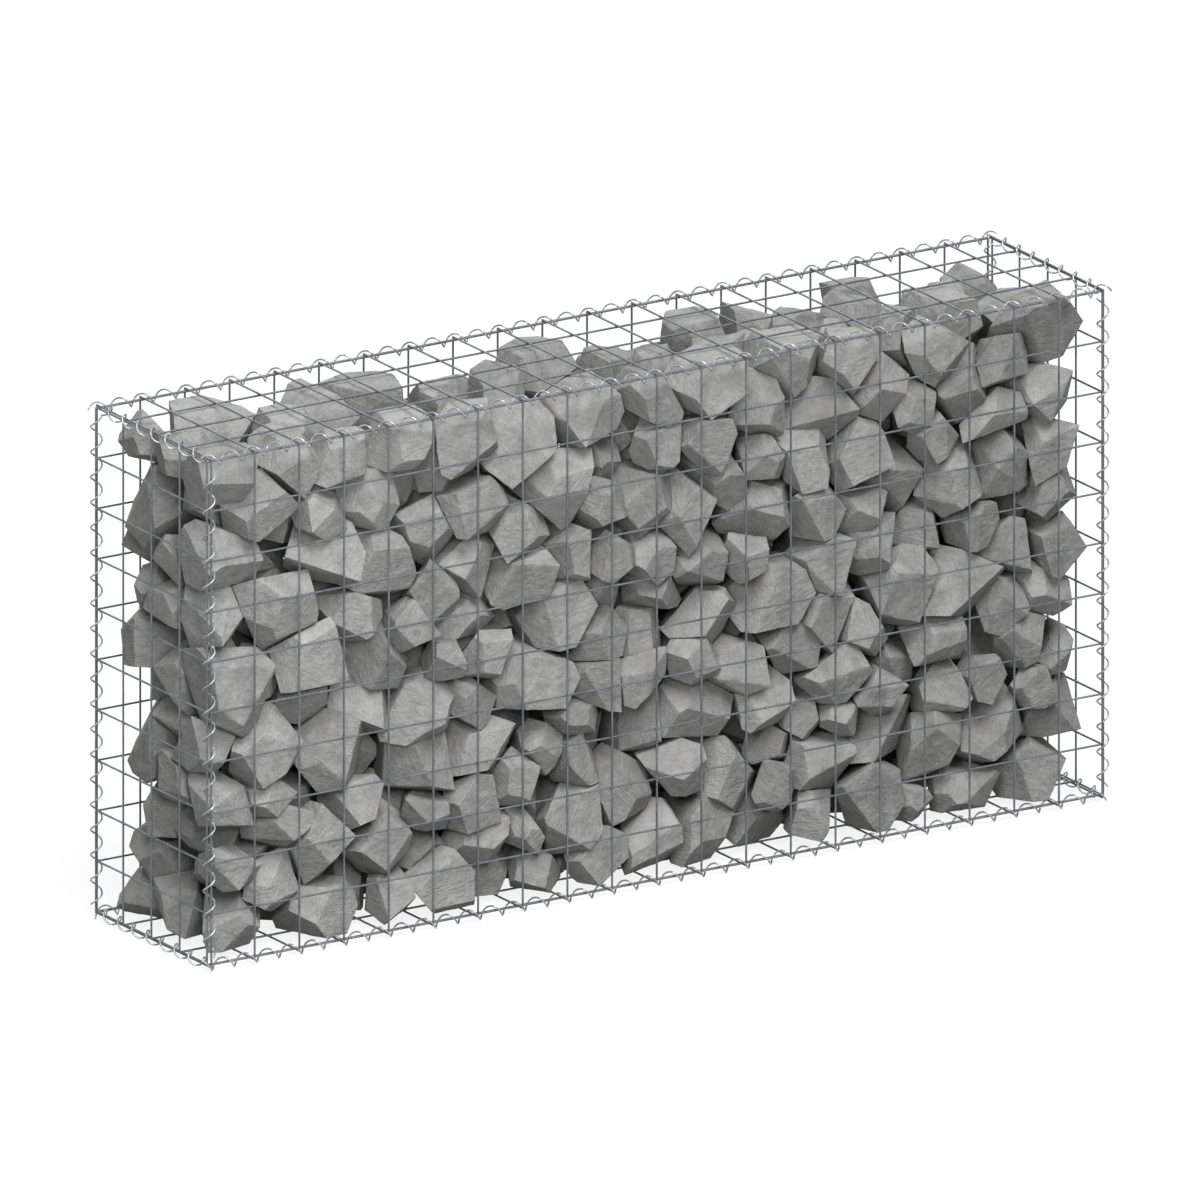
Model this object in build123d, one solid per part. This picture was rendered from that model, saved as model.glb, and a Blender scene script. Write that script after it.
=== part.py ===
from build123d import *
import math
import os
import random

os.makedirs("parts", exist_ok=True)

# Free-standing gabion wall basket: six welded mesh panels laced together along
# their edges by spiral binders, and filled in three lifts with quarried stone.
# X runs along the wall, Y from front (-Y) to back, Z is up. The origin is on the
# ground under the middle of the basket.

# Mesh: square cells of galvanised wire, counted along X, Y and Z, in two layers
# welded where they cross
mesh = 100.0
cells_x = 20
cells_y = 4
cells_z = 10
mesh_wire = 4.0
edge_wire_gap = 2.0
seat = 0.2
wire_overhang = 0.9

# Spiral binders: a wire coil with a whole number of turns in each mesh cell,
# drawn with straight runs between its corners
turns_per_cell = 2
runs_per_turn = 4
binder_wire = 3.5
binder_wire_sides = 3
lace_gap = 0.5
binder_corner_clear = 25.0

# Stone fill: how far it keeps from the ends and the lid, and how rough it is
stone = 125.0
stone_recess = 42.0
fill_left_clear = 22.0
fill_right_clear = 24.0
fill_top_clear = 22.0
fill_top_relief = 56.0
lifts = 3
fill_seed = 7

length = cells_x * mesh
depth = cells_y * mesh
height = cells_z * mesh

# At every edge the two panels' outermost wires lie side by side, each shifted
# this far off the nominal corner
edge_step = (mesh_wire + edge_wire_gap) / 2
outer_layer = edge_step
inner_layer = edge_step - mesh_wire
inner_face = inner_layer - mesh_wire / 2

# Binders clear the laced wires by the lacing gap; the run is the distance from
# the binder's axis to the middle of a straight run
binder_pitch = mesh / turns_per_cell
run_offset = edge_step + mesh_wire / 2 + lace_gap + binder_wire / 2
corner_radius = run_offset / math.cos(math.pi / runs_per_turn)
run_step = binder_pitch / runs_per_turn
binder_lead = run_step / 4

# Heights: the lid's upper wires bear on the wall panels, and the binders under
# the base carry the basket on the ground
lid_top = mesh_wire + seat + mesh_wire / 2
binder_rise = lid_top + lace_gap + binder_wire / 2 - run_offset
laced_y = depth / 2 + (inner_layer + inner_face - seat - mesh_wire / 2) / 2
laced_x = length / 2 + (inner_layer - edge_step) / 2
base_level = binder_rise + run_offset + binder_wire / 2
top_level = base_level + height


def wire(start, end):
    """Square mesh wire between two points that differ along one axis."""
    size = [abs(e - s) or mesh_wire for s, e in zip(start, end)]
    middle = [(s + e) / 2 for s, e in zip(start, end)]
    return Pos(*middle) * Box(*size)


def wire_places(cells, tuck):
    """Wire positions across a panel, with the outermost pair tucked inwards."""
    half = cells * mesh / 2
    inside = [k * mesh - half for k in range(1, cells)]
    return [-half + tuck] + inside + [half - tuck]


def levels():
    return [base_level + k * mesh for k in range(cells_z + 1)]


def weld(wires):
    return wires[0].fuse(*wires[1:])


def long_panel(side):
    """Front or back panel: upright wires outside, long wires inside."""
    upright_y = side * (depth / 2 + outer_layer)
    long_y = side * (depth / 2 + inner_layer)
    long_end = length / 2 + inner_face - seat
    foot = base_level - mesh_wire / 2
    head = top_level + mesh_wire / 2
    uprights = [
        wire((x, upright_y, foot), (x, upright_y, head))
        for x in wire_places(cells_x, edge_step)
    ]
    longs = [wire((-long_end, long_y, z), (long_end, long_y, z)) for z in levels()]
    return weld(uprights + longs)


def end_panel(side):
    """Left or right end panel: upright wires outside, cross wires inside."""
    upright_x = side * (length / 2 + outer_layer)
    cross_x = side * (length / 2 + inner_layer)
    cross_end = depth / 2 - edge_step + mesh_wire / 2
    foot = base_level - mesh_wire / 2
    head = top_level + mesh_wire / 2
    uprights = [
        wire((upright_x, y, foot), (upright_x, y, head))
        for y in wire_places(cells_y, edge_step)
    ]
    crosses = [wire((cross_x, -cross_end, z), (cross_x, cross_end, z)) for z in levels()]
    return weld(uprights + crosses)


def flat_panel(level, side):
    """Lid (side 1) or base (side -1): its long wires nest between the wall
    panels and its cross wires bear on them."""
    long_z = level + side * seat
    cross_z = long_z + side * mesh_wire
    long_end = length / 2 + inner_face - seat
    long_tuck = mesh_wire / 2 + seat - inner_face
    cross_end = depth / 2 + inner_layer + mesh_wire / 2 + wire_overhang
    longs = [
        wire((-long_end, y, long_z), (long_end, y, long_z))
        for y in wire_places(cells_y, long_tuck)
    ]
    crosses = [
        wire((x, -cross_end, cross_z), (x, cross_end, cross_z))
        for x in wire_places(cells_x, edge_step)
    ]
    return weld(longs + crosses)


def binder(origin, along, first, last, start_turn, offset):
    """Right-handed wire coil along an axis, from run number first to last.
    Run 0 starts at the offset with its corner at the start turn, in degrees."""
    frame = Plane(origin=origin, x_dir=along[0], z_dir=along[1])
    corners = []
    for k in range(first, last + 1):
        turn = math.radians(start_turn) + 2 * math.pi * k / runs_per_turn
        across = corner_radius * math.cos(turn)
        up = corner_radius * math.sin(turn)
        corners.append(frame.from_local_coords(Vector(across, up, offset + k * run_step)))
    section = Plane(origin=corners[0], z_dir=corners[1] - corners[0])
    outline = section * RegularPolygon(binder_wire / 2, binder_wire_sides)
    return sweep(outline, path=Polyline(*corners), transition=Transition.RIGHT)


def outward_turn(first_side, second_side):
    """Angle of the diagonal that points away from the basket."""
    return math.degrees(math.atan2(second_side, first_side))


def long_binder(side, up):
    """Binder along a long edge of the lid (up 1) or the base (up -1)."""
    level = top_level if up > 0 else base_level
    origin = (-length / 2, side * laced_y, level + up * binder_rise)
    lead = -side * up * binder_lead
    runs = cells_x * turns_per_cell * runs_per_turn
    return binder(origin, ((0, 1, 0), (1, 0, 0)), -1, runs + 1, outward_turn(side, up), lead)


def cross_binder(side, up):
    """Binder along a short edge of the lid (up 1) or the base (up -1)."""
    level = top_level if up > 0 else base_level
    origin = (side * laced_x, -depth / 2, level + up * binder_rise)
    lead = side * up * binder_lead
    clear_runs = math.ceil(binder_corner_clear / run_step)
    runs = cells_y * turns_per_cell * runs_per_turn
    turn = outward_turn(up, side)
    return binder(origin, ((0, 0, 1), (0, 1, 0)), clear_runs, runs - clear_runs, turn, lead)


def corner_binder(side, front):
    """Upright binder at a corner of the basket."""
    origin = (side * length / 2, front * depth / 2, base_level)
    clear_runs = math.ceil(binder_corner_clear / run_step)
    runs = cells_z * turns_per_cell * runs_per_turn
    turn = outward_turn(side, front)
    return binder(origin, ((1, 0, 0), (0, 0, 1)), clear_runs, runs - clear_runs, turn, 0)


# Stone fill: its faces are a net of points about a stone apart, set back from
# the mesh by random depths

fill_left = -length / 2 + fill_left_clear
fill_right = length / 2 - fill_right_clear
fill_side = laced_y - run_offset - binder_wire / 2 - seat
fill_bottom = base_level + mesh_wire / 2
fill_top = top_level - fill_top_clear
fill_columns = round((fill_right - fill_left) / stone)
fill_rows = round(2 * fill_side / stone)


def chance(*place):
    """Random share from 0 to 1, always the same for the same place; every third
    place gives 0, where a stone reaches the fill's limit."""
    if sum(place) % 3 == 0:
        return 0.0
    return random.Random(f"{fill_seed} {place}").random()


def net_point(i, j, z):
    x = fill_left + (fill_right - fill_left) * i / fill_columns
    y = fill_side * (2 * j / fill_rows - 1)
    return Vector(x, y, z)


def rim_places():
    """Net places round the fill, anticlockwise from its left front corner."""
    front = [(i, 0) for i in range(fill_columns)]
    right = [(fill_columns, j) for j in range(fill_rows)]
    back = [(i, fill_rows) for i in range(fill_columns, 0, -1)]
    left = [(0, j) for j in range(fill_rows, 0, -1)]
    return front + right + back + left


def rim(ring, z):
    """Rim of the fill at one height: end points move in along X, side points in
    along Y and a little along the wall."""
    points = {}
    for i, j in rim_places():
        recess = stone_recess * chance(i, j, ring)
        across = 1 if j == 0 else -1 if j == fill_rows else 0
        along = 1 if i == 0 else -1 if i == fill_columns else 0.5 - chance(j, i, ring + 1)
        points[i, j] = net_point(i, j, z) + Vector(along, across) * recess
    return points


def settled(i, j, point):
    """The point lowered to the uneven top of the fill."""
    return Vector(point.X, point.Y, fill_top - fill_top_relief * chance(i, j, lifts))


def facet(*points):
    return Face(Wire.make_polygon(points))


def band(lower, upper):
    """Facets between two rims."""
    places = rim_places()
    facets = []
    for here, after in zip(places, places[1:] + places[:1]):
        facets.append(facet(lower[here], lower[after], upper[after]))
        facets.append(facet(lower[here], upper[after], upper[here]))
    return facets


def rough_top(ring):
    """Uneven top of the fill, carried by its rim."""
    points = dict(ring)
    for i in range(1, fill_columns):
        for j in range(1, fill_rows):
            points[i, j] = settled(i, j, net_point(i, j, fill_top))
    facets = []
    for i in range(fill_columns):
        for j in range(fill_rows):
            near, right = points[i, j], points[i + 1, j]
            left, far = points[i, j + 1], points[i + 1, j + 1]
            facets += [facet(near, right, far), facet(near, far, left)]
    return facets


def stone_lift(k):
    """One filling lift as a mass with rough faces, resting on the lift below."""
    lift = (fill_top - fill_bottom) / lifts
    floor_z = fill_bottom + k * lift + seat
    floor = rim(2 * k, floor_z)
    waist = rim(2 * k + 1, floor_z + lift / 2)
    head = rim(2 * k + 2, floor_z + lift - seat)
    if k == lifts - 1:
        head = {place: settled(*place, point) for place, point in head.items()}
        cover = rough_top(head)
    else:
        cover = [facet(*head.values())]
    return Solid(Shell([facet(*floor.values())] + band(floor, waist) + band(waist, head) + cover))


# The pieces, one file each

nodes = {
    "front_mesh_panel": long_panel(-1),
    "back_mesh_panel": long_panel(1),
    "left_end_mesh_panel": end_panel(-1),
    "right_end_mesh_panel": end_panel(1),
    "lid_mesh_panel": flat_panel(top_level, 1),
    "base_mesh_panel": flat_panel(base_level, -1),
    "lid_front_spiral": long_binder(-1, 1),
    "lid_back_spiral": long_binder(1, 1),
    "lid_left_spiral": cross_binder(-1, 1),
    "lid_right_spiral": cross_binder(1, 1),
    "base_front_spiral": long_binder(-1, -1),
    "base_back_spiral": long_binder(1, -1),
    "base_left_spiral": cross_binder(-1, -1),
    "base_right_spiral": cross_binder(1, -1),
    "front_left_corner_spiral": corner_binder(-1, -1),
    "front_right_corner_spiral": corner_binder(1, -1),
    "back_left_corner_spiral": corner_binder(-1, 1),
    "back_right_corner_spiral": corner_binder(1, 1),
}
for k in range(lifts):
    nodes[f"stone_lift_{k + 1}"] = stone_lift(k)

for name, solid in nodes.items():
    export_step(solid, f"parts/{name}.step")
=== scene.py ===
"""Looks of the free-standing gabion wall: round galvanised wires, spiral binders and
the quarried stones of the fill. X runs along the wall, Y from front to back, Z is up,
in metres."""

import math
import random

import bmesh
import bpy
from mathutils import Euler, Matrix, Quaternion, Vector


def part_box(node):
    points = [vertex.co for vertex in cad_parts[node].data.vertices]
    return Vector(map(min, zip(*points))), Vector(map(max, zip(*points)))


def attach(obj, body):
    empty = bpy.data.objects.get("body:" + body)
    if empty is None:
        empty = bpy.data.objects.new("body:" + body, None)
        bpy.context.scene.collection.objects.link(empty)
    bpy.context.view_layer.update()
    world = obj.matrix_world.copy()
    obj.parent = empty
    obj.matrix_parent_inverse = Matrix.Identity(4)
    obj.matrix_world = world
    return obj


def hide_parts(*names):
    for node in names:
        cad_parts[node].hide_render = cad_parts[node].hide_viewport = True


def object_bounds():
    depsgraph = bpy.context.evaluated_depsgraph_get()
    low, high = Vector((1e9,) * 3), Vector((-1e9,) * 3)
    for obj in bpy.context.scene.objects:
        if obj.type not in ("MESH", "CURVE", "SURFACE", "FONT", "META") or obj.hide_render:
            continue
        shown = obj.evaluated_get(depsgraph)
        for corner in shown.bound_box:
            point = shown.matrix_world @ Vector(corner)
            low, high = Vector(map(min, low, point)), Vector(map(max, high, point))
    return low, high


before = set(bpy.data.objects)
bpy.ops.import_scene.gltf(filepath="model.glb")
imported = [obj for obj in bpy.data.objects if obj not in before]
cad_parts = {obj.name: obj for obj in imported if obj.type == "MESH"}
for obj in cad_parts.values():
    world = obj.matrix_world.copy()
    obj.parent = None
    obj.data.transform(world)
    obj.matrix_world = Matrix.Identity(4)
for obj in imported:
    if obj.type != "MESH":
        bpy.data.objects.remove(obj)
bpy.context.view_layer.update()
# Basket: where each panel lies is read from the frame, the rest is the product's. The
# outermost wires are tucked in from the nominal edge, and wires run over it at their
# ends, or stop short of it where the number is negative.

cell = 0.100
long_cells, deep_cells, high_cells = 20, 4, 10
wire = 0.004
wire_sides = 10
weld_width = 0.0062
weld_height = 0.0046
weld_sides, weld_rings = 8, 4
edge_tuck = 0.003
lid_tuck = 0.0052
rail_over = -0.0032
end_rail_over = -0.001
foot_over = wire / 2
stub_over = 0.0036

# Spiral binders: the short ones reach further towards the corners than the solids do

pitch = 0.050
coil_radius = 0.01075
coil_wire = 0.0035
coil_sides = 8
coil_steps = 20
short_reach = 0.011

# Wire finishes: zinc with spangle, dull patches and fine pits

mesh_dark, mesh_light = (0.098, 0.110, 0.125, 1), (0.172, 0.191, 0.211, 1)
coil_dark, coil_light = (0.20, 0.213, 0.225, 1), (0.40, 0.415, 0.425, 1)
mesh_shine, coil_shine = 0.42, 0.20
zinc_metal = 0.6
spangle_scale, patch_scale, pit_scale = 260.0, 21.0, 900.0
spangle_share, patch_share = 0.45, 0.55
zinc_contrast = (0.36, 0.64)
patch_shine = 0.16
pit_depth = 0.6
zinc_bump, zinc_bump_depth = 0.12, 0.0003

# Stone finish: greys, and how far grain, clouds, streaks and each stone's tone shade them

stone_dark, stone_light = (0.215, 0.214, 0.210, 1), (0.345, 0.343, 0.334, 1)
# Paler edge colour: partly edge wear, partly a painted highlight along the stones' crests
edge_wear_and_highlight_colour = (0.50, 0.50, 0.485, 1)
grain_scale, cloud_scale, streak_scale, pock_scale = 230.0, 30.0, 75.0, 85.0
streak_stretch = (1.0, 0.35, 3.0)
stone_fineness = 0.6
grain_shade, cloud_shade, streak_shade, tone_shade = 0.32, 0.50, 0.18, 0.16
stone_contrast = (0.32, 0.68)
edge_wear_and_highlight_share = 0.12
edge_wear_and_highlight_contrast = (0.35, 0.6)
stone_dullness, grain_shine = 0.97, 0.12
grain_depth, pock_depth, streak_depth = 0.15, 1.2, 0.85
stone_bump, stone_bump_depth = 0.8, 0.0034
stone_specular = 0.2

# Stones: their sizes, and how each is split from a block. What isn't in metres is a
# share of the stone's size, or a number.

stone_size = 0.105
stone_grades = (0.84, 0.92, 1.0, 1.0, 1.08, 1.2)
stone_count = 490
uncut_block = 4
block_form = ((0.95, 1.35), (0.85, 1.1), (0.72, 1.0))
fewest_splits, most_splits = 9, 12
split_tries = 6
split_reach = (0.82, 1.1)
shortest_edge = 0.1
farthest_corner = 0.98
fewest_faces = 7

# Skin of a stone: how its edges round and chip, its relief, how far apart the stones'
# patterns are taken from, and the patches it is drawn in, which are coarser where it
# lies out of sight

stone_edge = 0.0009
widest_round, longest_round = 0.4, 0.3
crest_rise, tip_rise = 0.5, 0.25
edge_chip = 0.0014
chip_scale = 4.5
chip_contrast = (0.48, 0.68)
stone_relief = 0.0015
relief_grain = 0.034
swell_height, ripple_height = 2.4, 1.2
ripple_stretch = (1.0, 0.6, 2.4)
ripple_scale = 2.6
bed_spread = 20
flat_weight = 80
stone_patch = 0.0100
hidden_patch = 0.021
seen_depth = 0.13
fewest_in_ring = 4

# Fill: how far it reaches, and the names of its thirds along the wall

fill_front = 0.184
fill_bottom = 0.0130
fill_limit = 1.003
limit_margin = 0.012
fill_thirds = ("left", "middle", "right")
fill_seed = 5

# Pouring: the stones fall, are shaken and are pressed level by a board, in a basket
# that is larger by the settle scale, as is the pull on them. The nudge and the
# thicknesses are in that basket's metres, and the pour starts at a share of a layer.

settle_scale = 10.0
settle_frames = 100
settle_substeps, settle_iterations = 10, 20
gravity = 9.81
pour_columns, pour_rows = 15, 3
pour_stride = 19
pour_start, pour_rise = 0.6, 0.140
pour_nudge = 0.1
shake_start, shake_end = 20, 70
shake_hold = 3
shake_pull = 4.5
shake_ways = ((1, 0), (0, 1), (-1, 0), (0, -1))
press_start, press_end = 48, 84
press_travel = 0.5
basket_top = 2.8
wall_thickness, board_thickness = 5.0, 2.0
stone_friction, wall_friction, board_friction = 0.9, 0.3, 0.1
slide_damping, spin_damping = 0.1, 0.3

# The photograph's view: a long lens from the front left, slightly above

photo_width = 1200
pixels_in_metre = 528.33
view_turn = math.radians(-32.25)
view_height = math.radians(17.63)
view_width = photo_width / pixels_in_metre
view_right = 0.0008
view_up = 0.4885
view_distance = 12.0
view_end = 100.0

# Light: a bright studio, a high soft sun, a soft box beside the camera, and a weaker
# lamp behind. Turns are from the front, and all angles in degrees.

sky_light = 0.26
sun_turn, sun_height, sun_softness = -6, 62, 34
sun_strength = 3.2
back_turn, back_height, back_softness = 172, 38, 60
back_strength = 1.3
box_place, box_aim = (-1.9, -2.5, 1.9), (-0.6, -0.1, 0.7)
box_width = 1.2
box_power = 54.0

# Floor: white to the camera but for a faint shadow, and dull to soft light

floor_radius = 40.0
floor_sides = 96
floor_white = 0.86
floor_lit, floor_dull = (0.95, 0.95, 0.95, 1), (0.2, 0.2, 0.2, 1)
floor_roughness = 0.9
pure_white = (1, 1, 1, 1)


class Sheet:
    """A node tree being drawn up, for a material, the world or a shape."""

    def __init__(self, tree):
        self.tree = tree

    def node(self, kind, settings=None, inputs=None, out=0):
        """Add a node: its settings first, then the values or links of its sockets."""
        made = self.tree.nodes.new(kind)
        for name, value in (settings or {}).items():
            setattr(made, name, value)
        for key, value in (inputs or {}).items():
            socket = find_socket(made.inputs, key)
            for term in value if isinstance(value, list) else [value]:
                if isinstance(term, Term):
                    self.tree.links.new(term.socket, socket)
                else:
                    socket.default_value = term
        return Term(self, find_socket(made.outputs, out)) if len(made.outputs) else None

    def mix(self, share, low, high):
        """Colour between two colours by a share from 0 to 1."""
        keys = {"Factor_Float": share, "A_Color": low, "B_Color": high}
        return self.node("ShaderNodeMix", {"data_type": "RGBA"}, keys, "Result_Color")

    def step(self, term, low, high):
        """0 below low, 1 above high, and smooth between them."""
        keys = {"Value": term, "From Min": low, "From Max": high}
        return self.node("ShaderNodeMapRange", {"interpolation_type": "SMOOTHSTEP"}, keys)

    def noise(self, place, scale, detail=2.0, roughness=0.5):
        keys = {"Vector": place, "Scale": scale, "Detail": detail, "Roughness": roughness}
        return self.node("ShaderNodeTexNoise", None, keys)


def find_socket(sockets, key):
    """A node's socket by its number, its identifier or its name."""
    if isinstance(key, int):
        return sockets[key]
    for socket in sockets:
        if socket.identifier == key:
            return socket
    return sockets[key]


class Term:
    """A socket in an expression: each arithmetic sign adds the maths node for it."""

    def __init__(self, sheet, socket):
        self.sheet = sheet
        self.socket = socket

    def join(self, operation, *terms):
        """The maths node for an operation, which is a vector one if any term is."""
        kind = "ShaderNodeMath"
        if any(isinstance(t, tuple) or getattr(t, "is_vector", False) for t in terms):
            kind = "ShaderNodeVectorMath"
            terms = [(t,) * 3 if isinstance(t, float) else t for t in terms]
        return self.sheet.node(kind, {"operation": operation}, dict(enumerate(terms)))

    @property
    def is_vector(self):
        return self.socket.type == "VECTOR"

    def __add__(self, other):
        return self.join("ADD", self, other)

    def __radd__(self, other):
        return self.join("ADD", other, self)

    def __sub__(self, other):
        return self.join("SUBTRACT", self, other)

    def __rsub__(self, other):
        return self.join("SUBTRACT", other, self)

    def __mul__(self, other):
        return self.join("MULTIPLY", self, other)

    def __rmul__(self, other):
        return self.join("MULTIPLY", other, self)

    def __truediv__(self, other):
        return self.join("DIVIDE", self, other)

    def __neg__(self):
        return self.join("MULTIPLY", self, -1.0)

    def least(self, other):
        return self.join("MINIMUM", self, other)

    def most(self, other):
        return self.join("MAXIMUM", self, other)


# Materials


def new_material(name):
    """A material, the sheet of its tree and its Principled shader."""
    material = bpy.data.materials.new(name)
    material.use_nodes = True
    tree = material.node_tree
    shader = tree.nodes["Principled BSDF"]
    return material, Sheet(tree), shader


def plug(sheet, shader, name, term):
    sheet.tree.links.new(term.socket, shader.inputs[name])


def galvanised(name, dark, light, shine):
    """Zinc-coated wire: blue-grey with faint spangle, dull patches and fine pits."""
    material, sheet, shader = new_material(name)
    place = sheet.node("ShaderNodeTexCoord", out="Object")
    spangle = sheet.noise(place, spangle_scale, detail=1.0)
    patches = sheet.noise(place, patch_scale, detail=3.0)
    tone = sheet.step(spangle_share * spangle + patch_share * patches, *zinc_contrast)
    plug(sheet, shader, "Base Color", sheet.mix(tone, dark, light))
    plug(sheet, shader, "Roughness", shine + patch_shine * (1.0 - patches))
    height = spangle + pit_depth * sheet.noise(place, pit_scale)
    keys = {"Strength": zinc_bump, "Distance": zinc_bump_depth, "Height": height}
    plug(sheet, shader, "Normal", sheet.node("ShaderNodeBump", None, keys))
    shader.inputs["Metallic"].default_value = zinc_metal
    return material


def quarried():
    """Split grey stone: cloth-like grain, faint clouds and streaks, and paler edges that are partly wear
    and partly painted highlight.
    """
    material, sheet, shader = new_material("quarried_stone")
    bed = sheet.node("ShaderNodeAttribute", {"attribute_name": "bed"}, out="Vector")
    tone = sheet.node("ShaderNodeAttribute", {"attribute_name": "tone"}, out="Fac")
    edge = sheet.node("ShaderNodeAttribute", {"attribute_name": "edge"}, out="Fac")
    grain = sheet.noise(bed, grain_scale, roughness=stone_fineness)
    cloud = sheet.noise(bed, cloud_scale, detail=4.0, roughness=stone_fineness)
    streak = sheet.noise(bed * streak_stretch, streak_scale, detail=3.0, roughness=stone_fineness)
    pock = sheet.noise(bed, pock_scale, detail=3.0, roughness=stone_fineness)
    shade = grain_shade * grain + cloud_shade * cloud + streak_shade * streak + tone_shade * (tone - 0.5)
    grey = sheet.mix(sheet.step(shade, *stone_contrast), stone_dark, stone_light)
    # Edges painted paler: partly wear, partly a painted highlight along each crest
    edge_wear_and_highlight = edge_wear_and_highlight_share * edge * sheet.step(cloud, *edge_wear_and_highlight_contrast)
    plug(sheet, shader, "Base Color", sheet.mix(edge_wear_and_highlight, grey, edge_wear_and_highlight_colour))
    plug(sheet, shader, "Roughness", stone_dullness - grain_shine * grain)
    height = grain_depth * grain + pock_depth * pock + streak_depth * streak
    keys = {"Strength": stone_bump, "Distance": stone_bump_depth, "Height": height}
    plug(sheet, shader, "Normal", sheet.node("ShaderNodeBump", None, keys))
    shader.inputs["Specular IOR Level"].default_value = stone_specular
    return material


mesh_finish = galvanised("mesh_galvanising", mesh_dark, mesh_light, mesh_shine)
coil_finish = galvanised("binder_galvanising", coil_dark, coil_light, coil_shine)
stone_finish = quarried()


# Shape trees


def new_tree(name, inputs):
    """A geometry tree with named inputs: its sheet, and a term for each input."""
    tree = bpy.data.node_groups.new(name, "GeometryNodeTree")
    for label, kind in inputs.items():
        tree.interface.new_socket(name=label, in_out="INPUT", socket_type="NodeSocket" + kind)
    tree.interface.new_socket(name="Shape", in_out="OUTPUT", socket_type="NodeSocketGeometry")
    given = tree.nodes.new("NodeGroupInput")
    sheet = Sheet(tree)
    return sheet, {label: Term(sheet, given.outputs[label]) for label in inputs}


def end_tree(sheet, shape, finish):
    """Realise the instances, give the finish and hand the shape out."""
    real = sheet.node("GeometryNodeRealizeInstances", None, {"Geometry": shape})
    keys = {"Geometry": real, "Material": finish}
    done = sheet.node("GeometryNodeSetMaterial", None, keys)
    sheet.node("NodeGroupOutput", None, {"Shape": done})


def grow(name, tree, values, mesh=None):
    """A plain mesh object of a tree's shape, with the tree's inputs set to the values."""
    piece = bpy.data.objects.new(name, mesh or bpy.data.meshes.new(name))
    bpy.context.scene.collection.objects.link(piece)
    modifier = piece.modifiers.new("shape", "NODES")
    modifier.node_group = tree
    for socket in tree.interface.items_tree:
        if socket.in_out == "INPUT" and socket.name in values:
            modifier[socket.identifier] = values[socket.name]
    return flatten(piece)


def flatten(piece):
    """Replace a piece's mesh with its evaluated one and take its modifiers off."""
    graph = bpy.context.evaluated_depsgraph_get()
    solid = bpy.data.meshes.new_from_object(piece.evaluated_get(graph))
    old = piece.data
    piece.modifiers.clear()
    piece.data = solid
    bpy.data.meshes.remove(old)
    solid.name = piece.name
    return piece


def tube(sheet, line, thickness, sides):
    keys = {"Resolution": sides, "Radius": thickness / 2.0}
    ring = sheet.node("GeometryNodeCurvePrimitiveCircle", None, keys)
    keys = {"Curve": line, "Profile Curve": ring, "Fill Caps": True}
    return sheet.node("GeometryNodeCurveToMesh", None, keys)


def combine(sheet, x=0.0, y=0.0, z=0.0):
    return sheet.node("ShaderNodeCombineXYZ", None, {"X": x, "Y": y, "Z": z})


def split(sheet, vector, axis):
    return sheet.node("ShaderNodeSeparateXYZ", None, {"Vector": vector}, axis)


def welded_mesh_tree():
    """A flat welded panel round its middle: rails along X, and bars along Y laid on
    them, with the outermost of each tucked in from the nominal edge."""
    sheet, size = new_tree("welded_mesh", {
        "Cell": "Float", "Cells Along": "Int", "Cells Across": "Int",
        "Tuck Along": "Float", "Tuck Across": "Float",
        "Rail Overhang": "Float", "Bar Overhang": "Float",
        "Wire": "Float", "Weld Width": "Float", "Weld Height": "Float",
        "Middle": "Vector", "Turn": "Vector", "Finish": "Material",
    })
    long_half = size["Cell"] * size["Cells Along"] / 2.0
    wide_half = size["Cell"] * size["Cells Across"] / 2.0
    place = sheet.node("GeometryNodeInputPosition")

    def tucked(axis, half, tuck):
        inside = half - tuck
        return split(sheet, place, axis).least(inside).most(-inside)

    def row(count, way, half, wire_place, reach):
        """Parallel wires: a line of points, each carrying one wire that reaches as far
        on both sides of it."""
        keys = {"Count": count + 1.0, "Offset": way * size["Cell"], "Start Location": -(way * half)}
        points = sheet.node("GeometryNodeMeshLine", None, keys)
        keys = {"Geometry": points, "Position": wire_place}
        points = sheet.node("GeometryNodeSetPosition", None, keys)
        line = sheet.node("GeometryNodeCurvePrimitiveLine", None, {"Start": -reach, "End": reach})
        keys = {"Points": points, "Instance": tube(sheet, line, size["Wire"], wire_sides)}
        return sheet.node("GeometryNodeInstanceOnPoints", None, keys)

    x_way = combine(sheet, x=1.0)
    y_way = combine(sheet, y=1.0)
    along = tucked("X", long_half, size["Tuck Along"])
    across = tucked("Y", wide_half, size["Tuck Across"])
    bars = row(size["Cells Along"], x_way, long_half, combine(sheet, x=along, z=size["Wire"]),
               y_way * (wide_half + size["Bar Overhang"]))
    rails = row(size["Cells Across"], y_way, wide_half, combine(sheet, y=across),
                x_way * (long_half + size["Rail Overhang"]))
    keys = {
        "Size X": long_half * 2.0, "Size Y": wide_half * 2.0,
        "Vertices X": size["Cells Along"] + 1.0, "Vertices Y": size["Cells Across"] + 1.0,
    }
    crossings = sheet.node("GeometryNodeMeshGrid", None, keys)
    keys = {"Geometry": crossings, "Position": combine(sheet, along, across, size["Wire"] / 2.0)}
    crossings = sheet.node("GeometryNodeSetPosition", None, keys)
    keys = {"Segments": weld_sides, "Rings": weld_rings, "Radius": 0.5}
    nugget = sheet.node("GeometryNodeMeshUVSphere", None, keys)
    form = combine(sheet, size["Weld Width"], size["Weld Width"], size["Weld Height"])
    keys = {"Points": crossings, "Instance": nugget, "Scale": form}
    welds = sheet.node("GeometryNodeInstanceOnPoints", None, keys)
    panel = sheet.node("GeometryNodeJoinGeometry", None, {"Geometry": [bars, rails, welds]})
    keys = {"Geometry": panel, "Translation": size["Middle"], "Rotation": size["Turn"]}
    panel = sheet.node("GeometryNodeTransform", None, keys)
    end_tree(sheet, panel, size["Finish"])
    return sheet.tree


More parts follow.
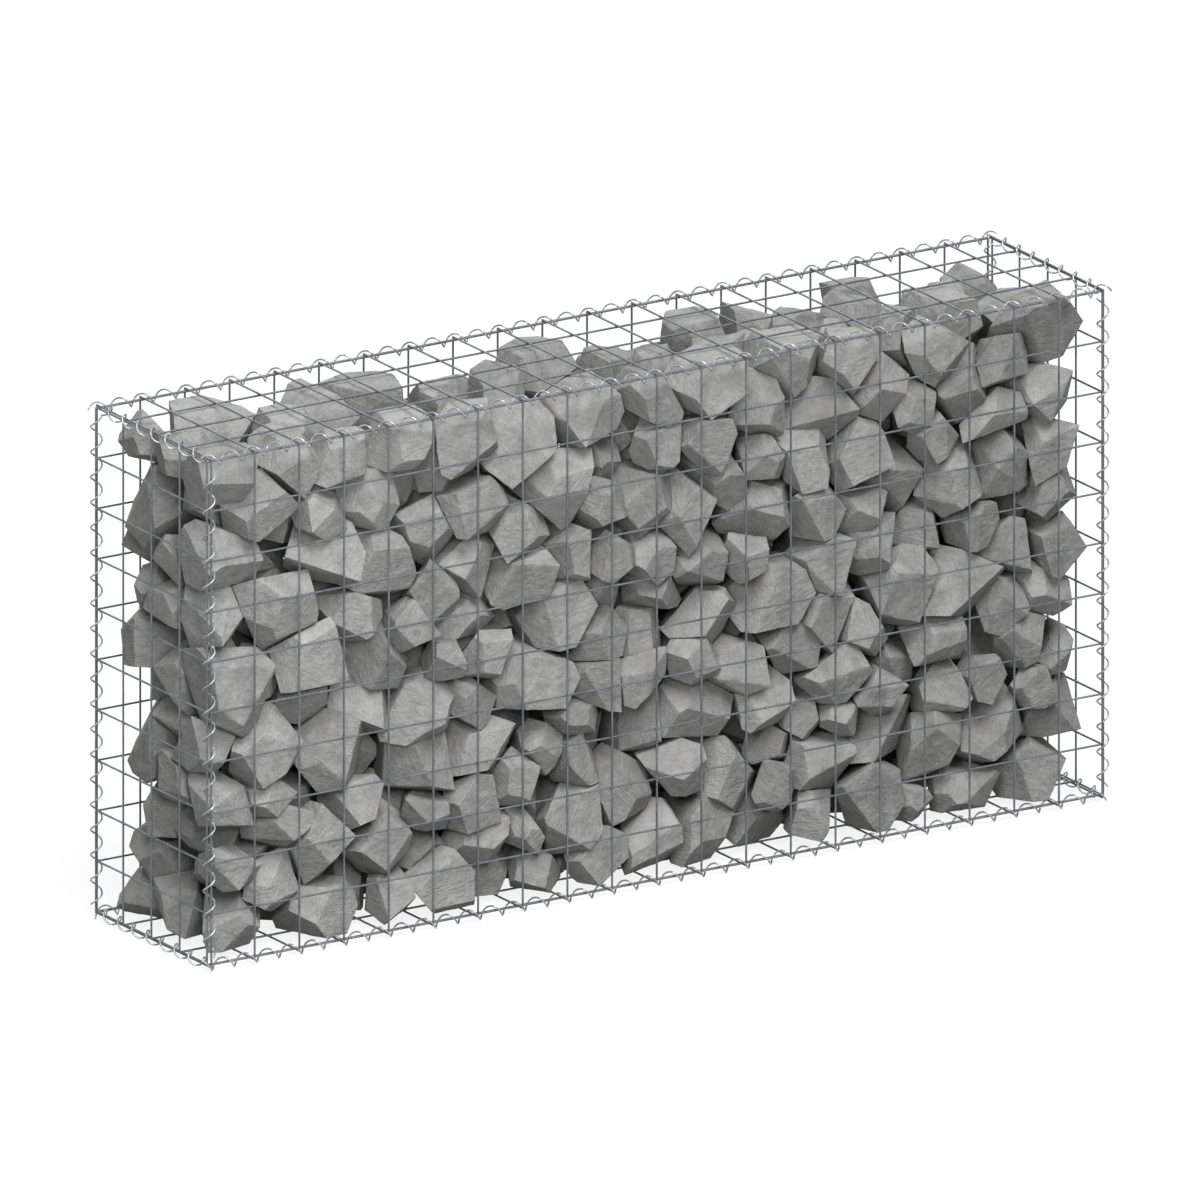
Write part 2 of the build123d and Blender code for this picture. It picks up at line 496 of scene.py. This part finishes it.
def spiral_tree():
    """A right-handed wire coil along +Z from its start, before it is turned."""
    sheet, size = new_tree("spiral_binder", {
        "Turns": "Float", "Pitch": "Float", "Coil Radius": "Float", "Wire": "Float",
        "First Angle": "Float", "Start": "Vector", "Turn": "Vector", "Finish": "Material",
    })
    keys = {
        "Resolution": coil_steps, "Rotations": size["Turns"],
        "Start Radius": size["Coil Radius"], "End Radius": size["Coil Radius"],
        "Height": size["Turns"] * size["Pitch"], "Reverse": True,
    }
    line = sheet.node("GeometryNodeCurveSpiral", None, keys)
    coil = tube(sheet, line, size["Wire"], coil_sides)
    keys = {"Geometry": coil, "Rotation": combine(sheet, z=size["First Angle"])}
    coil = sheet.node("GeometryNodeTransform", None, keys)
    keys = {"Geometry": coil, "Translation": size["Start"], "Rotation": size["Turn"]}
    coil = sheet.node("GeometryNodeTransform", None, keys)
    end_tree(sheet, coil, size["Finish"])
    return sheet.tree


def relief_tree():
    """Hollows and swells over split faces and chips along their edges, on each stone's
    own bed coordinates."""
    sheet, size = new_tree("stone_relief", {
        "Stone": "Geometry", "Depth": "Float", "Grain": "Float", "Chip": "Float",
        "Finish": "Material",
    })
    bed = sheet.node("GeometryNodeInputNamedAttribute", {"data_type": "FLOAT_VECTOR"}, {"Name": "bed"})
    edge = sheet.node("GeometryNodeInputNamedAttribute", {"data_type": "FLOAT"}, {"Name": "edge"})
    broad = sheet.noise(bed / size["Grain"], 1.0, detail=1.5)
    ripple = sheet.noise(bed * ripple_stretch / size["Grain"], ripple_scale, detail=1.0)
    height = ((broad - 0.5) * swell_height + (ripple - 0.5) * ripple_height) * size["Depth"]
    chips = sheet.step(sheet.noise(bed / size["Grain"], chip_scale, detail=1.0), *chip_contrast)
    height = height - chips * edge * size["Chip"]
    offset = sheet.node("GeometryNodeInputNormal") * height
    rough = sheet.node("GeometryNodeSetPosition", None, {"Geometry": size["Stone"], "Offset": offset})
    end_tree(sheet, rough, size["Finish"])
    return sheet.tree


# Pieces, each in the place of its CAD nodes

mesh_tree = welded_mesh_tree()
coil_tree = spiral_tree()
quarter = math.pi / 2


def dress(piece, slot, *nodes):
    """Smooth a finished piece and put it in the place of its CAD nodes."""
    for polygon in piece.data.polygons:
        polygon.use_smooth = True
    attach(piece, "root")
    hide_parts(*nodes)
    return piece


def panel(node, cells, tucks, overhangs, turn, outward):
    """A mesh panel on the inner wires of its CAD node, with its bars outwards."""
    low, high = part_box(node)
    middle = (low + high) / 2 - Vector(outward) * wire / 2
    piece = grow(node + "_wires", mesh_tree, {
        "Cell": cell, "Cells Along": cells[0], "Cells Across": cells[1],
        "Tuck Along": tucks[0], "Tuck Across": tucks[1],
        "Rail Overhang": overhangs[0], "Bar Overhang": overhangs[1],
        "Wire": wire, "Weld Width": weld_width, "Weld Height": weld_height,
        "Middle": middle, "Turn": turn, "Finish": mesh_finish,
    })
    return dress(piece, "mesh_wire", node)


panel("front_mesh_panel", (long_cells, high_cells), (edge_tuck, 0.0), (rail_over, foot_over),
      (quarter, 0, 0), (0, -1, 0))
panel("back_mesh_panel", (long_cells, high_cells), (edge_tuck, 0.0), (rail_over, foot_over),
      (quarter, 0, math.pi), (0, 1, 0))
panel("left_end_mesh_panel", (deep_cells, high_cells), (edge_tuck, 0.0), (end_rail_over, foot_over),
      (quarter, 0, -quarter), (-1, 0, 0))
panel("right_end_mesh_panel", (deep_cells, high_cells), (edge_tuck, 0.0), (end_rail_over, foot_over),
      (quarter, 0, quarter), (1, 0, 0))
panel("lid_mesh_panel", (long_cells, deep_cells), (edge_tuck, lid_tuck), (rail_over, stub_over),
      (0, 0, 0), (0, 0, 1))
panel("base_mesh_panel", (long_cells, deep_cells), (edge_tuck, lid_tuck), (rail_over, stub_over),
      (math.pi, 0, 0), (0, 0, -1))

# Binders lie along the X, Y or Z axis: number 0, 1 or 2, with the turn that lays +Z
# along it. A binder's angle is where its coil stands as it passes a mesh crossing, in
# degrees from the coil's own X towards its Y, and is set so that it clears the wires.
# At the corners it lags behind the diagonal that points away from the basket.

along_x = (Euler((0, quarter, 0)).to_matrix() @ Euler((0, 0, quarter)).to_matrix()).to_euler()
along_y = (Euler((-quarter, 0, 0)).to_matrix() @ Euler((0, 0, -quarter)).to_matrix()).to_euler()
along_z = Euler((0, 0, 0))
corner_lag, back_left_lag = 62, 75
ground_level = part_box("front_mesh_panel")[0].z + wire / 2


def binder(node, axis, turn, crossing, angle, reach=0.0):
    """A spiral along its CAD node, which goes past both ends of it by its reach."""
    low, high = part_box(node)
    start = (low + high) / 2
    start[axis] = low[axis] + coil_wire / 2 - reach
    length = high[axis] - low[axis] - coil_wire + 2 * reach
    first = math.radians(angle) - 2 * math.pi * (crossing - start[axis]) / pitch
    piece = grow(node + "_coil", coil_tree, {
        "Turns": length / pitch, "Pitch": pitch, "Coil Radius": coil_radius, "Wire": coil_wire,
        "First Angle": first, "Start": start, "Turn": turn, "Finish": coil_finish,
    })
    return dress(piece, "binder_wire", node)


binder("lid_front_spiral", 0, along_x, 0.0, 80)
binder("lid_back_spiral", 0, along_x, 0.0, 75)
binder("base_front_spiral", 0, along_x, 0.0, 200)
binder("base_back_spiral", 0, along_x, 0.0, 300)
binder("lid_left_spiral", 1, along_y, 0.0, 330, short_reach)
binder("lid_right_spiral", 1, along_y, 0.0, 30, short_reach)
binder("base_left_spiral", 1, along_y, 0.0, 210, short_reach)
binder("base_right_spiral", 1, along_y, 0.0, 150, short_reach)
binder("front_left_corner_spiral", 2, along_z, ground_level, 225 - corner_lag, short_reach)
binder("front_right_corner_spiral", 2, along_z, ground_level, 315 - corner_lag, short_reach)
binder("back_left_corner_spiral", 2, along_z, ground_level, 135 - back_left_lag, short_reach)
binder("back_right_corner_spiral", 2, along_z, ground_level, 45 - corner_lag, short_reach)

# Stone fill: quarry blocks are split, poured into the basket and left to settle

fill_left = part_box("stone_lift_1")[0].x
fill_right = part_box("stone_lift_1")[1].x


def any_direction(dice):
    z = dice.uniform(-1, 1)
    turn = dice.uniform(0, 2 * math.pi)
    across = math.sqrt(1 - z * z)
    return Vector((across * math.cos(turn), across * math.sin(turn), z))


def any_turn(dice):
    return Quaternion([dice.gauss(0, 1) for _ in range(4)]).normalized()


def any_place(dice, spread):
    return Vector([dice.uniform(-spread, spread) for _ in range(3)])


def end_block(block, name):
    """Hand a finished block over as a mesh."""
    mesh = bpy.data.meshes.new(name)
    block.to_mesh(mesh)
    block.free()
    return mesh


def split_block(dice, size):
    """A block split along planes that face every way, with its slivers closed up."""
    block = bmesh.new()
    bmesh.ops.create_cube(block, size=uncut_block * size)
    form = Vector([dice.uniform(*span) for span in block_form])
    splits = []
    for _ in range(dice.randint(fewest_splits, most_splits)):
        tries = [any_direction(dice) for _ in range(split_tries)]
        way = max(tries, key=lambda d: min([(d - e).length for e in splits] or [1]))
        splits.append(way)
        reach = Vector([a * b for a, b in zip(way, form)]).length
        reach *= size / 2 * dice.uniform(*split_reach)
        everything = block.verts[:] + block.edges[:] + block.faces[:]
        cut = bmesh.ops.bisect_plane(block, geom=everything, plane_co=way * reach,
                                     plane_no=way, clear_outer=True)
        rim = [e for e in cut["geom_cut"] if isinstance(e, bmesh.types.BMEdge)]
        if rim:
            bmesh.ops.contextual_create(block, geom=rim)
    bmesh.ops.remove_doubles(block, verts=block.verts, dist=shortest_edge * size)
    middle = sum((v.co for v in block.verts), Vector()) / len(block.verts)
    bmesh.ops.translate(block, verts=block.verts, vec=-middle)
    return block


def split_stone(dice, size):
    """The mesh of a split block with no long point, whose every edge has a face on both
    sides."""
    while True:
        block = split_block(dice, size)
        closed = all(len(e.link_faces) == 2 for e in block.edges)
        closed = closed and all(len(f.verts) > 2 for f in block.faces)
        stout = max(v.co.length for v in block.verts) < farthest_corner * size
        if closed and stout and len(block.faces) >= fewest_faces:
            break
        block.free()
    bmesh.ops.recalc_face_normals(block, faces=block.faces)
    return end_block(block, "stone")


def add_object(name, data):
    made = bpy.data.objects.new(name, data)
    bpy.context.scene.collection.objects.link(made)
    return made


def add_slab(low, high):
    block = bmesh.new()
    bmesh.ops.create_cube(block, size=1)
    bmesh.ops.scale(block, verts=block.verts, vec=Vector(high) - Vector(low))
    slab = add_object("slab", end_block(block, "slab"))
    slab.location = (Vector(low) + Vector(high)) / 2
    return slab


def add_walls(low, high, top):
    """Floor, ends, front and back of a basket that is open above."""
    thick = wall_thickness
    return [
        add_slab((low.x - thick, low.y - thick, low.z - thick), (high.x + thick, high.y + thick, low.z)),
        add_slab((low.x - thick, low.y - thick, low.z), (low.x, high.y + thick, top)),
        add_slab((high.x, low.y - thick, low.z), (high.x + thick, high.y + thick, top)),
        add_slab((low.x, low.y - thick, low.z), (high.x, low.y, top)),
        add_slab((low.x, high.y, low.z), (high.x, high.y + thick, top)),
    ]


def add_stones(low, high):
    """The fill's stones in layers above the basket's floor, each turned and nudged."""
    dice = random.Random(fill_seed)
    places = pour_columns * pour_rows
    step = Vector((
        (high.x - low.x) / pour_columns, (high.y - low.y) / pour_rows, pour_rise * settle_scale,
    ))
    stones = []
    for k in range(stone_count):
        layer, place = divmod(k, places)
        column, row = divmod(place * pour_stride % places, pour_rows)
        size = stone_size * settle_scale * dice.choice(stone_grades)
        stone = add_object(f"stone_{k}", split_stone(dice, size))
        nudge = any_place(dice, pour_nudge)
        stone.location = low + nudge + Vector((
            step.x * (column + 0.5), step.y * (row + 0.5), step.z * (layer + pour_start),
        ))
        stone.rotation_mode = "QUATERNION"
        stone.rotation_quaternion = any_turn(dice)
        stones.append(stone)
    return stones


def make_rigid(objects, kind, shape, friction, held=False):
    """Give objects rigid bodies. Held ones move only as they are told to."""
    bpy.ops.object.select_all(action="DESELECT")
    for thing in objects:
        thing.select_set(True)
    bpy.context.view_layer.objects.active = objects[0]
    bpy.ops.rigidbody.objects_add(type=kind)
    for thing in objects:
        body = thing.rigid_body
        body.collision_shape = shape
        body.friction = friction
        body.restitution = 0.0
        body.use_margin = True
        body.collision_margin = 0.0
        body.linear_damping = slide_damping
        body.angular_damping = spin_damping
        body.kinematic = held


def shake(frame_number):
    """Sideways pull on the pile: back and forth, along and across by turns."""
    if not shake_start < frame_number < shake_end:
        return 0.0, 0.0
    along, across = shake_ways[frame_number // shake_hold % len(shake_ways)]
    return along * shake_pull, across * shake_pull


def settle(board, board_low):
    """Run the time it takes the stones to fall, be shaken, be pressed and come to rest."""
    scene = bpy.context.scene
    for frame_number in range(1, settle_frames + 1):
        if press_start <= frame_number <= press_end:
            share = (frame_number - press_start) / (press_end - press_start)
            board.location.z = board_low + (1 - share) * press_travel * settle_scale
        scene.gravity = Vector((*shake(frame_number), -gravity)) * settle_scale
        scene.frame_set(frame_number)


def settled_stones(stones):
    """Meshes of the stones that lie within the fill's limit, with their places."""
    graph = bpy.context.evaluated_depsgraph_get()
    shrink = Matrix.Scale(1 / settle_scale, 4)
    settled = []
    for stone in stones:
        place = shrink @ stone.evaluated_get(graph).matrix_world
        if max((place @ v.co).z for v in stone.data.vertices) < fill_limit + limit_margin:
            settled.append((stone.data, place))
    return settled


def pour_and_settle():
    """Stones of the fill with their places: poured in layers, shaken, levelled with a
    board and left to come to rest."""
    low = Vector((fill_left, -fill_front, fill_bottom)) * settle_scale
    high = Vector((fill_right, fill_front, fill_limit)) * settle_scale
    top = basket_top * settle_scale
    stones = add_stones(low, high)
    walls = add_walls(low, high, top)
    board = add_slab((low.x, low.y, top), (high.x, high.y, top + board_thickness))
    bpy.ops.rigidbody.world_add()
    world = bpy.context.scene.rigidbody_world
    world.substeps_per_frame = settle_substeps
    world.solver_iterations = settle_iterations
    world.point_cache.frame_end = settle_frames
    make_rigid(stones, "ACTIVE", "CONVEX_HULL", stone_friction)
    make_rigid(walls, "PASSIVE", "BOX", wall_friction)
    make_rigid([board], "PASSIVE", "BOX", board_friction, held=True)
    settle(board, high.z + board_thickness / 2)
    settled = settled_stones(stones)
    bpy.ops.rigidbody.world_remove()
    for thing in stones + walls + [board]:
        bpy.data.objects.remove(thing)
    bpy.context.scene.frame_set(1)
    return settled


class Skin:
    """A stone's surface: its points, how far each lies on a rounded edge, which chips the edge and
    paints it paler as wear and painted highlight, and its faces.
    """

    def __init__(self):
        self.points = []
        self.wear_and_highlight_mask = []
        self.faces = []

    def add(self, place, wear_and_highlight_weight=0.0):
        self.points.append(place)
        self.wear_and_highlight_mask.append(wear_and_highlight_weight)
        return len(self.points) - 1


def edge_distance(point, edge):
    """Distance of a point from the line through an edge."""
    start, end = (v.co for v in edge.verts)
    way = (end - start).normalized()
    return ((point - start) - way * (point - start).dot(way)).length


def face_corners(face, width):
    """A face's corners moved in to where its edges start to round."""
    middle = face.calc_center_median()
    loops = face.loops
    narrow = min(edge_distance(middle, loop.edge) for loop in loops)
    width = min(width, widest_round * narrow)
    corners = []
    for loop in loops:
        here = loop.vert.co
        back = loop.link_loop_prev.vert.co - here
        on = loop.link_loop_next.vert.co - here
        half = back.angle(on) / 2
        along = min(width / math.tan(half), longest_round * min(back.length, on.length))
        inwards = (back.normalized() + on.normalized()).normalized()
        corners.append(here + inwards * along / math.cos(half))
    return corners


def face_rows(stone, skin, width, patch):
    """Points along every side of every face, where its edge starts to round."""
    cuts = {e: max(1, round(e.calc_length() / patch)) for e in stone.edges}
    rows = {}
    for face in stone.faces:
        corners = [skin.add(place) for place in face_corners(face, width)]
        for k, loop in enumerate(face.loops):
            first, last = corners[k], corners[(k + 1) % len(corners)]
            start, end = skin.points[first], skin.points[last]
            count = cuts[loop.edge]
            inside = [skin.add(start.lerp(end, i / count)) for i in range(1, count)]
            rows[loop] = [first] + inside + [last]
    return rows


def edge_crests(stone, skin, rows):
    """Points along the top of every rounded edge."""
    crests = {}
    for edge in stone.edges:
        start = edge.verts[0].co
        way = (edge.verts[1].co - start).normalized()
        sides = [rows[loop] if loop.vert == edge.verts[0] else rows[loop][::-1]
                 for loop in edge.link_loops]
        crest = []
        for a, b in zip(*sides):
            chord = (skin.points[a] + skin.points[b]) / 2
            foot = start + way * (chord - start).dot(way)
            crest.append(skin.add(chord.lerp(foot, crest_rise), 1.0))
        crests[edge] = crest
    return crests


def crest_from(vert, edge, crests):
    """An edge's crest, from the given end of it on."""
    return crests[edge] if edge.verts[0] == vert else crests[edge][::-1]


def vert_tips(stone, skin, crests):
    """A point at the top of every rounded corner."""
    tips = {}
    for vert in stone.verts:
        ends = [skin.points[crest_from(vert, e, crests)[0]] for e in vert.link_edges]
        tips[vert] = skin.add((sum(ends, Vector()) / len(ends)).lerp(vert.co, tip_rise), 1.0)
    return tips


def stitch(outer, inner):
    """Triangles between two closed rings of points, of any two lengths."""
    faces = []
    i = j = 0
    while i < len(outer) or j < len(inner):
        if (i + 1) * len(inner) <= (j + 1) * len(outer):
            faces.append((outer[i], outer[(i + 1) % len(outer)], inner[j % len(inner)]))
            i += 1
        else:
            faces.append((outer[i % len(outer)], inner[(j + 1) % len(inner)], inner[j]))
            j += 1
    return faces


def fill_ring(skin, rim, patch):
    """Close a flat ring of points with ever smaller rings round a middle point."""
    middle = sum((skin.points[p] for p in rim), Vector()) / len(rim)
    reach = sum((skin.points[p] - middle).length for p in rim) / len(rim)
    rings = max(1, round(reach / patch))
    outer = rim
    for k in range(1, rings):
        count = max(fewest_in_ring, round(len(rim) * (1 - k / rings)))
        picked = [skin.points[rim[round(i * len(rim) / count) % len(rim)]] for i in range(count)]
        inner = [skin.add(place.lerp(middle, k / rings)) for place in picked]
        skin.faces += stitch(outer, inner)
        outer = inner
    top = skin.add(middle)
    skin.faces += [(a, b, top) for a, b in zip(outer, outer[1:] + outer[:1])]


def round_stone(stone, width, patch):
    """The skin of a split stone with rounded edges, and its faces in patches."""
    skin = Skin()
    rows = face_rows(stone, skin, width, patch)
    crests = edge_crests(stone, skin, rows)
    tips = vert_tips(stone, skin, crests)
    for face in stone.faces:
        rim = []
        for loop in face.loops:
            row = rows[loop]
            crest = crest_from(loop.vert, loop.edge, crests)
            for i in range(len(row) - 1):
                skin.faces.append((crest[i], crest[i + 1], row[i + 1], row[i]))
            before = crest_from(loop.vert, loop.link_loop_prev.edge, crests)[0]
            skin.faces.append((tips[loop.vert], crest[0], row[0]))
            skin.faces.append((tips[loop.vert], row[0], before))
            rim += row[:-1]
        fill_ring(skin, rim, patch)
    return skin


def add_stone(part, dice, mesh, place):
    """Finish one stone and add it to the piece that it belongs to."""
    stone = bmesh.new()
    stone.from_mesh(mesh)
    middle = place.translation
    depth = min(
        fill_front - abs(middle.y), middle.x - fill_left, fill_right - middle.x, fill_limit - middle.z,
    )
    patch = stone_patch if depth < seen_depth else hidden_patch
    skin = round_stone(stone, stone_edge * settle_scale, patch * settle_scale)
    stone.free()
    shift = any_place(dice, bed_spread)
    turn = any_turn(dice)
    tone = dice.random()
    start = len(part["points"])
    for point in skin.points:
        part["points"].append(place @ point)
        part["bed"].extend(turn @ (point / settle_scale) + shift)
    # The edge mask both chips the edges and paints them paler, as wear and painted highlight
    part["edge"] += skin.wear_and_highlight_mask
    part["tone"] += [tone] * len(skin.points)
    part["faces"] += [[start + v for v in face] for face in skin.faces]


def part_mesh(name, part):
    """The mesh of a piece of the fill, with what its relief and finish are drawn from."""
    mesh = bpy.data.meshes.new(name)
    mesh.from_pydata(part["points"], [], part["faces"])
    for label in ("edge", "tone"):
        mesh.attributes.new(label, "FLOAT", "POINT").data.foreach_set("value", part[label])
    mesh.attributes.new("bed", "FLOAT_VECTOR", "POINT").data.foreach_set("vector", part["bed"])
    mesh.shade_smooth()
    return mesh


def build_fill():
    """The settled stones, joined into one piece for each third of each lift."""
    relief = relief_tree()
    dice = random.Random(fill_seed + 1)
    floors = [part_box(f"stone_lift_{k}")[0].z for k in (1, 2, 3)]
    thirds = len(fill_thirds)
    parts = {}
    for mesh, place in pour_and_settle():
        middle = place.translation
        lift = 1 + sum(middle.z > floor for floor in floors[1:])
        third = min(thirds - 1, int(thirds * (middle.x - fill_left) / (fill_right - fill_left)))
        empty = {"points": [], "faces": [], "bed": [], "edge": [], "tone": []}
        add_stone(parts.setdefault((lift, third), empty), dice, mesh, place)
    for (lift, third), part in sorted(parts.items()):
        name = f"stones_lift_{lift}_{fill_thirds[third]}"
        piece = grow(name, relief, {
            "Depth": stone_relief, "Grain": relief_grain, "Chip": edge_chip, "Finish": stone_finish,
        }, part_mesh(name, part))
        weigh = piece.modifiers.new("edges", "WEIGHTED_NORMAL")
        weigh.weight = flat_weight
        dress(flatten(piece), "quarried_stone", f"stone_lift_{lift}")


build_fill()


# Stage, lights and camera


def seen_directly(sheet):
    """1 for what the camera and shiny or clear surfaces see, 0 for soft light."""
    path = sheet.node("ShaderNodeLightPath").socket.node.outputs
    direct = Term(sheet, path["Is Camera Ray"])
    for name in ("Is Glossy Ray", "Is Transmission Ray"):
        direct = direct.most(Term(sheet, path[name]))
    return direct


def set_world():
    world = bpy.data.worlds.new("studio")
    world.use_nodes = True
    sheet = Sheet(world.node_tree)
    background = world.node_tree.nodes["Background"]
    background.inputs["Color"].default_value = pure_white
    strength = sky_light + seen_directly(sheet) * (1.0 - sky_light)
    sheet.tree.links.new(strength.socket, background.inputs["Strength"])
    bpy.context.scene.world = world


def add_floor(height):
    """A floor that shows white with a faint shadow, and throws little light back."""
    block = bmesh.new()
    bmesh.ops.create_circle(block, cap_ends=True, segments=floor_sides, radius=floor_radius)
    mesh = end_block(block, "floor")
    floor = add_object("studio_floor", mesh)
    floor.location.z = height
    material, sheet, shader = new_material("studio_floor")
    shader.inputs["Base Color"].default_value = floor_dull
    shader.inputs["Roughness"].default_value = floor_roughness
    lit = sheet.node("ShaderNodeBsdfDiffuse", None, {"Color": floor_lit})
    white = sheet.node("ShaderNodeEmission", None, {"Color": pure_white, "Strength": 1.0})
    shown = sheet.node("ShaderNodeMixShader", None, {0: floor_white, 1: lit, 2: white})
    dull = Term(sheet, shader.outputs["BSDF"])
    floor_look = sheet.node("ShaderNodeMixShader", None, {0: seen_directly(sheet), 1: dull, 2: shown})
    output = material.node_tree.nodes["Material Output"]
    sheet.tree.links.new(floor_look.socket, output.inputs["Surface"])
    mesh.materials.append(material)


def direction(turn, height):
    """Way from the wall towards a turn from the front and a height, in radians."""
    return Vector((
        math.sin(turn) * math.cos(height), -math.cos(turn) * math.cos(height), math.sin(height),
    ))


def add_sun(turn, height, strength, softness):
    """A soft lamp far off, at a turn from the front and a height, in degrees."""
    lamp = bpy.data.lights.new("sun", "SUN")
    lamp.energy = strength
    lamp.angle = math.radians(softness)
    sun = add_object("sun", lamp)
    way = direction(math.radians(turn), math.radians(height))
    sun.rotation_euler = way.to_track_quat("Z", "Y").to_euler()


def add_soft_box(place, aim, power, width):
    """A round soft lamp near the wall, so that its light falls off along it."""
    lamp = bpy.data.lights.new("soft_box", "AREA")
    lamp.shape = "DISK"
    lamp.size = width
    lamp.energy = power
    box = add_object("soft_box", lamp)
    box.location = place
    box.rotation_euler = (Vector(place) - Vector(aim)).to_track_quat("Z", "Y").to_euler()
    box.visible_camera = False


def add_camera():
    lens = bpy.data.cameras.new("camera")
    lens.type = "ORTHO"
    lens.ortho_scale = view_width
    lens.clip_end = view_end
    camera = add_object("camera", lens)
    back = direction(view_turn, view_height)
    look = (-back).to_track_quat("-Z", "Y")
    camera.rotation_euler = look.to_euler()
    across = look @ Vector((1, 0, 0))
    upward = look @ Vector((0, 1, 0))
    camera.location = across * view_right + upward * view_up + back * view_distance
    bpy.context.scene.camera = camera


shown_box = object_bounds()
set_world()
add_floor(shown_box[0].z)
add_sun(sun_turn, sun_height, sun_strength, sun_softness)
add_sun(back_turn, back_height, back_strength, back_softness)
add_soft_box(box_place, box_aim, box_power, box_width)
add_camera()
bpy.context.scene.view_settings.view_transform = "Standard"
